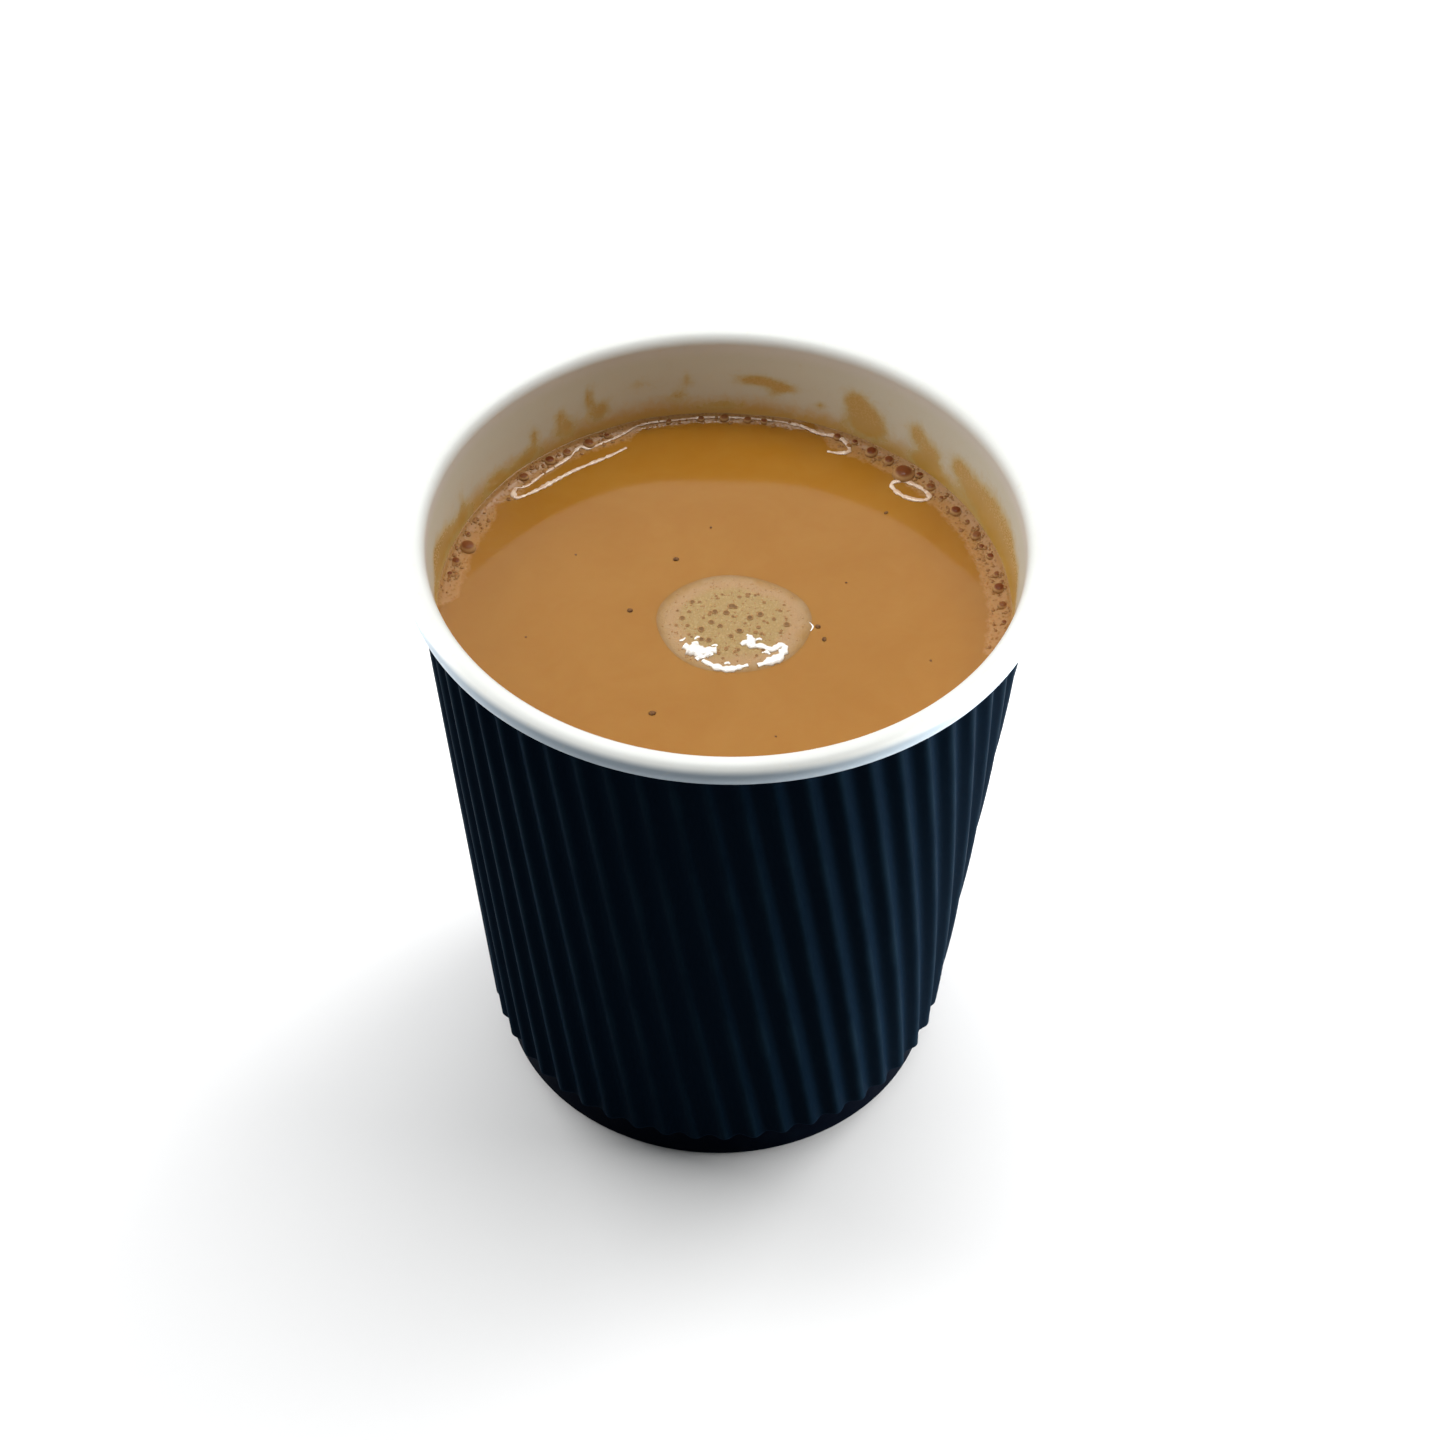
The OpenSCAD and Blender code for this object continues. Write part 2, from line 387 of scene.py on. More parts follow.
# dried splashes inside the wall: direction in degrees, drop below the rim, half width,
# half height and strength; the sizes are in mm
splashes = [
    (84, 6.7, 2.8, 0.8, 1.0), (79, 7.5, 1.8, 0.7, 0.9), (81, 8.7, 0.9, 0.8, 0.5),
    (63, 6.8, 1.7, 1.7, 0.9), (60, 8.6, 2.4, 1.9, 1.0), (60, 10.4, 3.2, 1.4, 0.8),
    (48, 7.2, 1.3, 1.5, 0.8), (44, 9.0, 2.0, 1.9, 0.9), (45, 11.0, 2.8, 1.2, 0.8),
    (35, 7.6, 1.8, 1.6, 0.8), (30, 8.6, 2.8, 2.2, 0.9), (22, 8.0, 3.2, 2.4, 0.9),
    (13, 8.2, 3.2, 2.6, 0.9), (4, 9.2, 3.2, 2.4, 0.9), (71, 9.0, 0.8, 0.6, 0.6),
    (120, 6.2, 0.7, 1.7, 0.7), (118, 8.9, 1.6, 1.6, 0.8), (127, 7.4, 0.9, 1.2, 0.6),
    (126, 9.6, 1.8, 1.5, 0.8), (134, 8.4, 0.8, 1.5, 0.7), (136, 10.8, 2.2, 1.2, 0.8),
    (99, 6.6, 0.8, 1.3, 0.45), (101, 9.2, 1.6, 1.2, 0.5), (109, 6.4, 1.6, 0.8, 0.3),
    (146, 10.6, 2.4, 1.4, 0.7), (158, 8.4, 0.9, 2.2, 0.4), (168, 9.6, 2.6, 1.8, 0.8),
    (92, 10.8, 3.2, 0.9, 0.6), (176, 8.0, 2.2, 1.8, 0.6), (182, 10.4, 2.6, 1.4, 0.6),
    (40, 11.6, 4.0, 1.3, 0.7), (20, 11.2, 5.0, 1.7, 0.8), (5, 11.0, 4.0, 1.6, 0.8),
    (160, 10.8, 3.4, 1.6, 0.8), (173, 9.6, 3.0, 2.4, 0.8), (143, 11.6, 4.0, 1.0, 0.6),
    (240, 10.0, 2.2, 1.0, 0.5), (300, 10.4, 1.8, 1.0, 0.5), (328, 9.4, 1.6, 1.6, 0.6),
]


def boardTone(clouds):
    return clouds.smooth(0.3, 0.7).tint(cupFinish["white"], cupFinish["whiteWarm"])


def cupMaterial():
    def look(start, place):
        height = axisPart(start, place, "Z") / mm
        fibres = noise(start, place, 0.25, 3.0)
        clouds = noise(start, place, 14.0, 2.0)
        ragged = noise(start, place, 1.3, 3.0, 0.6, 0.6)
        fine = noise(start, place, 0.45, 2.0)
        splash = attribute(start, "splash") + (ragged - 0.5) * 0.5 + (fine - 0.5) * 0.2
        mark = splash.smooth(0.02, 0.62)
        deep = splash.smooth(0.25, 0.9)
        # the tea has wet the wall a little above its level, unevenly
        tide = height - teaLevel - (ragged - 0.5) * 1.8 - (clouds - 0.5) * 3.0
        haze = tide.smooth(*cupFinish["hazeEnds"]) * cupFinish["haze"]
        film = tide.smooth(*cupFinish["filmEnds"]) * (1 - cupFinish["haze"]) + haze
        film = film * attribute(start, "inside")
        lining = attribute(start, "inside") * height.smooth(rollHeight, rollHeight - 2)
        base = lining.tint(boardTone(clouds), cupFinish["lining"])
        base = film.tint(base, cupFinish["film"])
        # painted shade on the roll's outer side and underside
        base = attribute(start, "underRoll").tint(base, cupFinish["underRoll"])
        stain = deep.tint(cupFinish["stainPale"], cupFinish["stainDeep"])
        base = (mark * 0.85).tint(base, stain)
        gloss = 0.42 - mark * 0.14 - film * 0.1 + (fibres - 0.5) * 0.08
        return {"Base Color": base, "Roughness": gloss,
                "Normal": bump(start, fibres + mark * 0.6, 0.02, 0.5)}
    return newMaterial("coatedBoard", {"IOR": 1.45}, look)


# the cup's foot below the sleeve is made near-black
def footDarkMaterial():
    def look(start, place):
        fibres = noise(start, place, 0.25, 3.0)
        footMottle = noise(start, place, 5.0, 3.0).smooth(0.55, 0.8) * 0.5
        return {"Base Color": footMottle.tint(cupFinish["footDark"], cupFinish["footDarkMottle"]),
                "Roughness": 0.5 + (fibres - 0.5) * 0.1,
                "Normal": bump(start, fibres, 0.02, 0.5)}
    return newMaterial("footPrint", {"Specular IOR Level": 0.004}, look)


def boardPath():
    # middle line of the paper board from the fold inside the foot up to the roll's end
    half = cup["board"] / 2
    foldTop = floorTop - cup["basePaper"] - cup["foldClear"]
    bend = (cup["basePaper"] + cup["board"]) / 2
    low = bend + half
    foldInset = cup["board"] + cup["basePaper"] + half
    path = [(wallRadius(z) - foldInset, z) for z in np.linspace(foldTop, low, 6)]
    middle = wallRadius(low) - half - bend
    for angle in np.linspace(math.pi, 2 * math.pi, 10)[1:-1]:
        path.append((middle + bend * math.cos(angle), low + bend * math.sin(angle)))
    # the steps are finer from a little below the tea's level up, where the stains are
    stainsFrom = teaLevel - 4
    heights = [*np.linspace(low, floorTop, 9), *np.linspace(floorTop, stainsFrom, 8)[1:],
               *np.linspace(stainsFrom, rollHeight, 34)[1:-1]]
    path += [(wallRadius(z) - half, z) for z in heights]
    rolled = rollRadius - half
    for turned in np.linspace(0, math.radians(cup["rollTurn"]), 35):
        angle = math.pi - turned
        path.append((rimRadius - rollRadius + rolled * math.cos(angle),
                     rollHeight + rolled * math.sin(angle)))
    return path


def splashStrength(turn, radius, z):
    total = 0.0
    for az, drop, wide, tall, strength in splashes:
        aside = math.radians((turn - az + 180) % 360 - 180) * radius / wide
        above = (cupHeight - z - drop) / tall
        if abs(aside) < 3 and abs(above) < 3:
            total += strength * math.exp(-aside * aside - above * above)
    return total


def rollShadeShare(radius, z):
    # share of painted shade: 0 on the roll's top, 1 on its outer side and underside
    if radius <= rimRadius - 1.6 * rollRadius:
        return 0.0
    lean = math.degrees(math.atan2(z - rollHeight, radius - (rimRadius - rollRadius)))
    return within((cupFinish["greyFrom"] - lean) / cupFinish["greyOver"])


def buildCup():
    path = [Vector(p) for p in boardPath()]
    half = cup["board"] / 2
    lining, outside = [], []
    for i, p in enumerate(path):
        along = (path[min(i + 1, len(path) - 1)] - path[max(i - 1, 0)]).normalized()
        across = Vector((-along.y, along.x))
        lining.append(p + half * across)
        outside.append(p - half * across)
    profile = [tuple(p) for p in outside + lining[::-1]]
    points, faces = turnProfile(profile, cup["around"])
    piece = newPiece("paper_cup", [Vector(p) * mm for p in points], faces, cupMaterial())
    splash, inside, underRoll = [], [], []
    for i in range(cup["around"]):
        turn = 360 * i / cup["around"]
        for j, (radius, z) in enumerate(profile):
            # the board's lining shows in the bore, and on the roll's outside
            lined = j >= len(path)
            shown = z > rollHeight or (lined and floorTop < z < rollHeight)
            inside.append(1.0 if shown else 0.0)
            splash.append(splashStrength(turn, radius, z) if shown else 0.0)
            underRoll.append(rollShadeShare(radius, z) if lined else 0.0)
    addAttribute(piece, "splash", splash)
    addAttribute(piece, "inside", inside)
    addAttribute(piece, "underRoll", underRoll)
    piece.data.materials.append(footDarkMaterial())
    for face in piece.data.polygons:
        spot = face.center / mm
        outward = math.hypot(spot.x, spot.y) > wallRadius(spot.z) - half
        if outward and spot.z < cupFinish["footDarkTop"]:
            face.material_index = 1
    piece.data.set_sharp_from_angle(angle=math.radians(50))
    return piece


sleeve = {
    "sizes": {                      # what its tree takes, in mm
        "Ribs": 64,                 # as many as the blank's upper edge can take
        "Points per rib": 14,
        "Rows": 18,
        "Rib pitch": 3.85,
        "Rib height": 0.85,
        "Valley paper": 0.35,       # thickness in the valleys, down to the cup
        "Foot radius": cup["footDiameter"] / 2,
        "Taper": taper,
        "Lower edge": sleeveLow,
        "Upper edge": sleeveHigh,
        "Seam": 4.0,                # degrees round from +X
    },
    "sheet": 0.3,               # thickness of the fluted paper itself, mm
    "paper": (0.001, 0.004, 0.0088, 1),
    "worn": (0.003, 0.0088, 0.0152, 1),
    # painted highlight: the lower cut edge is lighter, where it catches light
    "cut": (0.005, 0.011, 0.02, 1),
}


def sleeveMaterial():
    def look(start, place):
        crest = attribute(start, "rib")
        height = axisPart(start, place, "Z") / mm
        fibres = noise(start, place, 0.22, 3.0, 0.6)
        clouds = noise(start, place, 9.0, 3.0)
        rub = (crest + (clouds - 0.5) * 0.8 + (fibres - 0.5) * 0.3).smooth(0.72, 1.15)
        base = (rub * 0.6).tint(sleeve["paper"], sleeve["worn"])
        # painted highlight along the lower cut edge
        edge = (height - sleeveLow + (fibres - 0.5) * 0.1).smooth(0.16, 0.06)
        base = edge.tint(base, sleeve["cut"])
        return {"Base Color": base, "Roughness": 0.5 + (fibres - 0.5) * 0.16 - rub * 0.05,
                "Normal": bump(start, fibres, 0.015, 0.5)}
    return newMaterial("sleevePaper", {
        "Specular IOR Level": 0.002, "Sheen Weight": 0.005, "Sheen Roughness": 0.35,
        "Sheen Tint": (0.45, 0.75, 1.0, 1)}, look)


def sleeveTree():
    tree, given = newTree("fluted sleeve", {**sleeve["sizes"], "Material": None})
    start = Wire(tree)
    columns = given["Ribs"] * given["Points per rib"] + 1.0
    grid = start.make("GeometryNodeMeshGrid", None, {
        "Size X": 1.0, "Size Y": 1.0, "Vertices X": columns, "Vertices Y": given["Rows"]})
    place = start.make("GeometryNodeInputPosition")
    rise = axisPart(start, place, "Y") + 0.5
    z = given["Lower edge"] + rise * (given["Upper edge"] - given["Lower edge"])
    valley = given["Foot radius"] + given["Valley paper"] + given["Taper"] * z
    # the flutes run straight across the flat blank, whose apex is the cone's own
    coneSine = given["Taper"].math("ARCTANGENT").math("SINE")
    fromApex = valley / coneSine
    seamLimit = (coneSine * math.pi).math("SINE")
    across = axisPart(start, place, "X") * given["Ribs"] * given["Rib pitch"] / fromApex
    across = across.math("MINIMUM", seamLimit).math("MAXIMUM", seamLimit * -1)
    turn = across.math("ARCSINE") / coneSine + given["Seam"] * math.radians(1) + math.pi
    wave = (across * fromApex * (2 * math.pi) / given["Rib pitch"]).math("COSINE")
    rib = wave * 0.5 + 0.5
    radius = (valley + rib * given["Rib height"]) * mm
    spot = start.make("ShaderNodeCombineXYZ", None, {
        0: radius * turn.math("COSINE"), 1: radius * turn.math("SINE"), 2: z * mm})
    shaped = keep(start, grid, "rib", rib)
    shaped = start.make("GeometryNodeSetPosition", None, {0: shaped, "Position": spot})
    shaped = start.make("GeometryNodeMergeByDistance", None, {0: shaped, "Distance": 0.01 * mm})
    endTree(start, shaped, given["Material"])
    return tree


def buildSleeve():
    piece = newPiece("ripple_sleeve_paper", [], [])
    grow(piece, sleeveTree(), {**sleeve["sizes"], "Material": sleeveMaterial()})
    sheet = piece.modifiers.new("sheet", "SOLIDIFY")
    sheet.thickness = sleeve["sheet"] * mm
    sheet.offset = -1
    settle(piece)
    piece.data.set_sharp_from_angle(angle=math.radians(50))
    return piece


tea = {
    "reach": 0.12,          # how far the piece goes into the wall and floor, mm
    "creep": 0.85,          # how far the tea creeps up the wall
    "creepWidth": 0.8,      # the creep falls to a third over this distance
    "creepWaves": [(0.1, 3, 0.8), (0.08, 11, 0.0), (0.05, 23, 2.0)],
    "swell": 0.035,         # slow unevenness of the surface
    "around": 288,          # steps round the cup
    "innermost": 0.8,       # radius of the first ring
    "rings": 40,            # rings on the open surface
    "edgeRings": 34,        # and finer ones near the wall
    "edgeBand": 3.0,
    "sideRings": 10,
    "milk": (0.376, 0.165, 0.019, 1),
    "brew": (0.352, 0.143, 0.011, 1),
    "skim": (0.46, 0.23, 0.075, 1),          # fine foam along the wall
    "skimHollow": (0.37, 0.165, 0.035, 1),   # and between its bubbles
    "skimReach": 1.5,       # it reaches this many widths of its fringe
    "skimFade": 1.5,        # and thins out over this distance
    "skimEnds": 3.0,        # or over this past the fringe's ends, degrees
}

# stretches of wall with a fringe of foam: from and to in degrees, width in mm, small bubbles
fringes = [(-12, 66, 2.4, 230), (76, 108, 1.2, 60), (112, 146, 2.0, 90), (152, 178, 2.2, 80),
           (186, 352, 0.7, 60)]


def fromWall(x, y):
    return boreRadius(teaLevel) - math.hypot(x, y)


def creepHeight(x, y):
    # height of the tea above its level at a point near the wall
    uneven = 1 + waver(tea["creepWaves"], math.atan2(y, x))
    return tea["creep"] * uneven * math.exp(-max(fromWall(x, y), 0) / tea["creepWidth"])


def teaHeight(x, y):
    swell = math.sin(0.19 * x + 1.3) * math.sin(0.16 * y + 0.4) \
        + 0.5 * math.sin(0.31 * x - 0.27 * y)
    return teaLevel + creepHeight(x, y) + tea["swell"] * swell


def skimStrength(x, y):
    # fine foam gathers on the tea along the fringes
    turn = math.degrees(math.atan2(y, x))
    strength = 0.0
    for low, high, width, _ in fringes:
        middle, half = (low + high) / 2, (high - low) / 2
        beyond = max(0.0, abs((turn - middle + 180) % 360 - 180) - half)
        reach = tea["skimReach"] * width - fromWall(x, y)
        strength = max(strength, reach / tea["skimFade"] - beyond / tea["skimEnds"])
    return within(strength)


def teaMaterial():
    def look(start, place):
        swirl = noise(start, place, 16.0, 3.0, 0.55, 1.2)
        wisps = noise(start, place, 4.0, 4.0, 0.6, 2.0)
        ragged = noise(start, place, 0.9, 2.0)
        blend = (swirl * 0.7 + wisps * 0.3).smooth(0.22, 0.78)
        base = blend.tint(tea["brew"], tea["milk"])
        cells = bubbles(start, place, 0.5)
        foam = cells.smooth(0.1, 0.55).tint(tea["skimHollow"], tea["skim"])
        skim = (attribute(start, "skim") + (ragged - 0.5) * 0.9).smooth(0.25, 0.75)
        base = (skim * 0.9).tint(base, foam)
        return {"Base Color": base, "Roughness": 0.09 + skim * 0.2,
                "Normal": bump(start, cells.smooth(0.0, 0.5) * skim, 0.06, 0.5)}
    constants = {"IOR": 1.36, "Subsurface Weight": 0.35,
                 "Subsurface Radius": (1.0, 0.55, 0.25), "Subsurface Scale": 0.002}
    return newMaterial("milkyTea", constants, look)


def buildTea():
    wall = boreRadius(teaLevel + tea["creep"]) + tea["reach"]
    count, band, sides = tea["around"], wall - tea["edgeBand"], tea["sideRings"]
    radii = [*np.linspace(tea["innermost"], band, tea["rings"]),
             *np.linspace(band, wall, tea["edgeRings"])[1:]]
    points = [Vector((0, 0, teaHeight(0, 0)))]
    for radius in radii:
        for i in range(count):
            spot = onCircle(radius, 360 * i / count, 0)
            spot.z = teaHeight(spot.x, spot.y)
            points.append(spot)
    edge = points[-count:]
    bottom = floorTop - tea["reach"]
    for k in range(1, sides + 1):
        for i in range(count):
            z = edge[i].z + (bottom - edge[i].z) * (k / sides)
            points.append(onCircle(boreRadius(z) + tea["reach"], 360 * i / count, z))
    points.append(Vector((0, 0, bottom)))
    faces = [(0, 1 + i, 1 + (i + 1) % count) for i in range(count)]
    rings = len(radii) + sides
    for k in range(rings - 1):
        here, there = 1 + k * count, 1 + (k + 1) * count
        for i in range(count):
            j = (i + 1) % count
            faces.append((here + i, there + i, there + j, here + j))
    last = 1 + (rings - 1) * count
    faces += [(len(points) - 1, last + (i + 1) % count, last + i) for i in range(count)]
    piece = newPiece("chai", [p * mm for p in points], faces, teaMaterial())
    addAttribute(piece, "skim", [skimStrength(p.x, p.y) for p in points])
    return piece


froth = {
    "middle": ((frothLow.x + frothHigh.x) / 2, (frothLow.y + frothHigh.y) / 2),
    "halfWidth": (frothHigh.x - frothLow.x) / 2,
    "halfDepth": (frothHigh.y - frothLow.y) / 2,
    "height": 0.32,
    "dome": 1.4,              # the higher, the flatter its edge
    "sunk": 0.25,             # how far its side goes down into the tea, mm
    "underCut": 0.3,          # the side draws in by this share of the width
    "edge": 0.975,            # the raft's edge as a share of that width, and its waves
    "edgeWaves": [(0.012, 3, 0.7), (0.01, 5, -0.4)],
    "around": 128,
    "rings": 36,
    "sideRings": 3,
    "foam": (0.445, 0.3, 0.125, 1),
    "hollow": (0.355, 0.222, 0.073, 1),      # between the fine bubbles
    "collar": (0.43, 0.255, 0.115, 1),       # the closed skin round the porous middle
    "foamEdge": (0.37, 0.175, 0.035, 1),
}


def frothHeight(share):
    # height of the raft above the tea, from 0 at its middle to 1 at its edge
    return froth["height"] * (1 - share ** 2) ** froth["dome"]


def onFroth(share, turn):
    out = share * (froth["edge"] + waver(froth["edgeWaves"], turn))
    x = froth["middle"][0] + froth["halfWidth"] * out * math.cos(turn)
    y = froth["middle"][1] + froth["halfDepth"] * out * math.sin(turn)
    return Vector((x, y, teaHeight(x, y) + frothHeight(share)))


def frothMaterial():
    def look(start, place):
        clouds = noise(start, place, 3.0, 3.0)
        rim = attribute(start, "edge") + (clouds - 0.5) * 0.3
        cells, small = bubbles(start, place, 0.42), bubbles(start, place, 0.2)
        grain = cells.smooth(0.15, 0.6) * 0.6 + small.smooth(0.2, 0.6) * 0.4
        base = (grain * 0.8).tint(froth["foam"], froth["hollow"])
        base = rim.smooth(0.62, 0.8).tint(base, froth["collar"])
        base = rim.smooth(0.84, 1.04).tint(base, froth["foamEdge"])
        return {"Base Color": base, "Normal": bump(start, 1 - grain, 0.05, 0.45)}
    constants = {"Roughness": 0.22, "IOR": 1.36, "Subsurface Weight": 0.3,
                 "Subsurface Radius": (1.0, 0.7, 0.4), "Subsurface Scale": 0.001}
    return newMaterial("foam", constants, look)


def buildFroth():
    count, rings, sides = froth["around"], froth["rings"], froth["sideRings"]
    points, edge = [], []
    for k in range(1, rings + 1):
        share = math.sin(math.pi / 2 * k / rings)
        for i in range(count):
            points.append(onFroth(share, 2 * math.pi * i / count))
            edge.append(share)
    for k in range(1, sides + 1):
        for i in range(count):
            rim = onFroth(1 - froth["underCut"] * k / sides, 2 * math.pi * i / count)
            rim.z = teaLevel - froth["sunk"] * k / sides
            points.append(rim)
            edge.append(1.0)
    points += [onFroth(0, 0), Vector((*froth["middle"], teaLevel - froth["sunk"]))]
    edge += [0.0, 1.0]
    top, under = len(points) - 2, len(points) - 1
    faces = [(top, i, (i + 1) % count) for i in range(count)]
    for k in range(rings + sides - 1):
        here, there = k * count, (k + 1) * count
        for i in range(count):
            j = (i + 1) % count
            faces.append((here + i, there + i, there + j, here + j))
    last = (rings + sides - 1) * count
    faces += [(under, last + (i + 1) % count, last + i) for i in range(count)]
    piece = newPiece("froth_raft", [p * mm for p in points], faces, frothMaterial())
    addAttribute(piece, "edge", edge)
    return piece


# how each kind of floating thing is shaped: its faces, and its height as a share of its width
floaterShapes = {
    "large bubble": {"Segments": 28, "Rings": 14, "Height": 0.62},
    "fine bubble": {"Segments": 9, "Rings": 5, "Height": 0.62},
    "pore": {"Segments": 9, "Rings": 5, "Height": 0.3},
    "speck": {"Segments": 7, "Rings": 5, "Height": 0.4},
}


def floaterTree():
    tree, given = newTree("floaters", {**floaterShapes["large bubble"], "Material": None})
    start = Wire(tree)
    points = start.make("GeometryNodeMeshToPoints", None, {0: given["Geometry"]})
    ball = start.make("GeometryNodeMeshUVSphere", None, {
        "Segments": given["Segments"], "Rings": given["Rings"], "Radius": 1.0})
    place = start.make("GeometryNodeInputPosition")
    ball = keep(start, ball, "crown", axisPart(start, place, "Z"))
    girth = named(start, "size") * mm
    size = start.make("ShaderNodeCombineXYZ", None, {
        0: girth * named(start, "stretch"), 1: girth, 2: girth * given["Height"]})
    twist = start.make("ShaderNodeCombineXYZ", None, {2: named(start, "twist")})
    twist = start.make("FunctionNodeEulerToRotation", None, {0: twist})
    crowd = start.make("GeometryNodeInstanceOnPoints", None, {
        0: points, "Instance": ball, "Rotation": twist, "Scale": size})
    endTree(start, crowd, given["Material"])
    return tree


def scatter(name, spots, tree, shape, material):
    # spots: place, radius, tone, and how far each is stretched and turned
    piece = newPiece(name, [spot[0] * mm for spot in spots], [])
    for label, column in (("size", 1), ("tone", 2), ("stretch", 3), ("twist", 4)):
        addAttribute(piece, label, [spot[column] for spot in spots])
    return grow(piece, tree, {**floaterShapes[shape], "Material": material})


bubbleFinish = {
    "ring": (0.46, 0.25, 0.1, 1),
    "bubble": (0.17, 0.04, 0.01, 1),     # the darkest films, of bubbles and of the froth's pores: partly the tea below, partly painted reflection of the shaded wall and painted shade in the open pores
    "pore": (0.17, 0.085, 0.025, 1),
    "light": (0.4, 0.2, 0.07, 1),        # and the palest
}


def bubbleMaterial(name, darkest, constants):
    def look(start, place):
        film = attribute(start, "tone").tint(bubbleFinish[darkest], bubbleFinish["light"])
        # the dark crown is partly the tea seen through the film, partly painted reflection and shade
        crown = attribute(start, "crown").smooth(0.5, 0.85)
        return {"Base Color": crown.tint(bubbleFinish["ring"], film)}
    return newMaterial(name, constants, look)


# the larger bubbles at the wall: direction in degrees, radius, and distance from the wall in mm
wallBubbles = [
    (121.5, 0.75, 0.9), (127, 0.6, 0.9), (131.5, 0.75, 0.8), (139, 0.65, 0.8), (117, 0.45, 0.7),
    (163.5, 1.15, 1.6), (168.5, 0.6, 1.0), (172.5, 0.4, 0.8), (160, 0.4, 0.8),
    (96, 0.5, 0.6), (91, 0.6, 0.5), (86, 0.55, 0.6), (82.5, 0.45, 0.6), (103, 0.4, 0.6),
    (66, 0.6, 0.7), (62, 0.45, 0.6), (57.5, 0.85, 1.0), (53, 0.75, 1.0), (48, 1.45, 1.7),
    (45, 0.5, 0.6), (41, 0.65, 1.0), (37, 0.4, 1.2), (32, 0.85, 1.1), (28, 0.4, 0.9),
    (23.5, 0.7, 1.0), (20, 0.45, 1.2), (16.5, 0.5, 0.8), (11, 0.55, 0.9), (7, 0.85, 1.1),
    (2, 0.65, 1.0), (-3, 0.4, 0.9), (-8, 0.35, 0.8),
]


def atWall(turn, inset):
    spot = onCircle(boreRadius(teaLevel) - inset, turn, 0)
    spot.z = teaHeight(spot.x, spot.y)
    return spot


# the small bubbles in the fringes
wallFoam = {
    "seed": 5,
    "smallest": 0.1,       # radius in mm
    "spread": 0.26,        # the largest is this much larger
    "rarity": 2.5,         # the higher, the rarer the large ones
    "crowding": 1.4,       # the higher, the closer to the wall
}


def buildWallBubbles(tree):
    # the large ones and the fringe of small ones, as two pieces
    chance = random.Random(wallFoam["seed"])
    film = bubbleMaterial("bubbleFilm", "bubble", {"Roughness": 0.15, "IOR": 1.2})
    large, small = [], []
    for turn, radius, inset in wallBubbles:
        large.append((atWall(turn, inset), radius, chance.uniform(0, 0.3),
                      chance.uniform(0.9, 1.2), chance.uniform(0, 3)))
    for low, high, width, count in fringes:
        for _ in range(count):
            turn = chance.uniform(low, high)
            radius = wallFoam["smallest"] + wallFoam["spread"] * chance.random() ** wallFoam["rarity"]
            inset = radius + (width - radius) * chance.random() ** wallFoam["crowding"]
            small.append((atWall(turn, inset), radius, chance.uniform(0.45, 1.0),
                          chance.uniform(0.9, 1.15), chance.uniform(0, 3)))
    return [scatter("wall_bubbles", large, tree, "large bubble", film),
            scatter("wall_foam", small, tree, "fine bubble", film)]


# pores in the froth: how many, smallest and largest radius in mm, how far out, tones
frothPores = {
    "seed": 11,
    "large": (18, 0.36, 0.5, 0.68, (0.0, 0.2)),
    "middling": (46, 0.2, 0.34, 0.76, (0.2, 0.6)),
    "fine": (240, 0.08, 0.15, 0.93, (0.75, 1.0)),
}


def buildFrothBubbles(tree):
    chance = random.Random(frothPores["seed"])
    spots = []
    for kind in ("large", "middling", "fine"):
        count, smallest, largest, reach, tones = frothPores[kind]
        for _ in range(count):
            share, turn = reach * chance.random() ** 0.5, chance.uniform(0, 2 * math.pi)
            spots.append((onFroth(share, turn), chance.uniform(smallest, largest),
                          chance.uniform(*tones), chance.uniform(0.9, 1.2), chance.uniform(0, 3)))
    dull = bubbleMaterial("frothPores", "pore", {"Roughness": 0.5, "Specular IOR Level": 0.2})
    return scatter("froth_bubbles", spots, tree, "pore", dull)


# ground spice afloat; each grain's place across and along, and its radius, in mm
spice = {
    "seed": 3,
    "dark": (0.11, 0.045, 0.012, 1),
    "light": (0.2, 0.09, 0.028, 1),
    "grains": [(-6.3, 8.5, 0.42), (-11.8, -0.9, 0.4), (-8.5, -18.6, 0.42), (20.4, 18.0, 0.36),
               (11.6, -3.0, 0.4), (12.4, -5.2, 0.3), (-2.0, 14.5, 0.16), (15.2, 5.0, 0.15),
               (-19.0, 9.0, 0.15), (6.5, -22.0, 0.14), (-24.5, -6.0, 0.14), (25.5, -8.5, 0.16)],
}


def buildSpice(tree):
    def look(start, place):
        grain = noise(start, place, 0.3)
        return {"Base Color": grain.smooth(0.4, 0.6).tint(spice["dark"], spice["light"]),
                "Normal": bump(start, grain, 0.03, 0.6)}
    chance = random.Random(spice["seed"])
    spots = []
    for x, y, radius in spice["grains"]:
        spots.append((Vector((x, y, teaHeight(x, y))), radius, 0.0,
                      chance.uniform(0.7, 1.5), chance.uniform(0, 3)))
    dull = newMaterial("groundSpice", {"Roughness": 0.5, "Specular IOR Level": 0.15}, look)
    return scatter("spice_specks", spots, tree, "speck", dull)


rims = {
    "sizes": {                  # what their tree takes
        "Corners": 10,          # of the rim's section
        "Flatness": 0.45,       # its height as a share of its width
        "Step": 0.25,           # mm along the rim
        "Unevenness": 1.3,
    },
    "thinnest": 0.03,           # mm
    # the pale colours are partly painted highlights, glints on the wet rims
    "glintBead": (0.9, 0.72, 0.56, 1),
    "between": (0.72, 0.48, 0.32, 1),
    "onFroth": (0.98, 0.93, 0.86, 1),
}


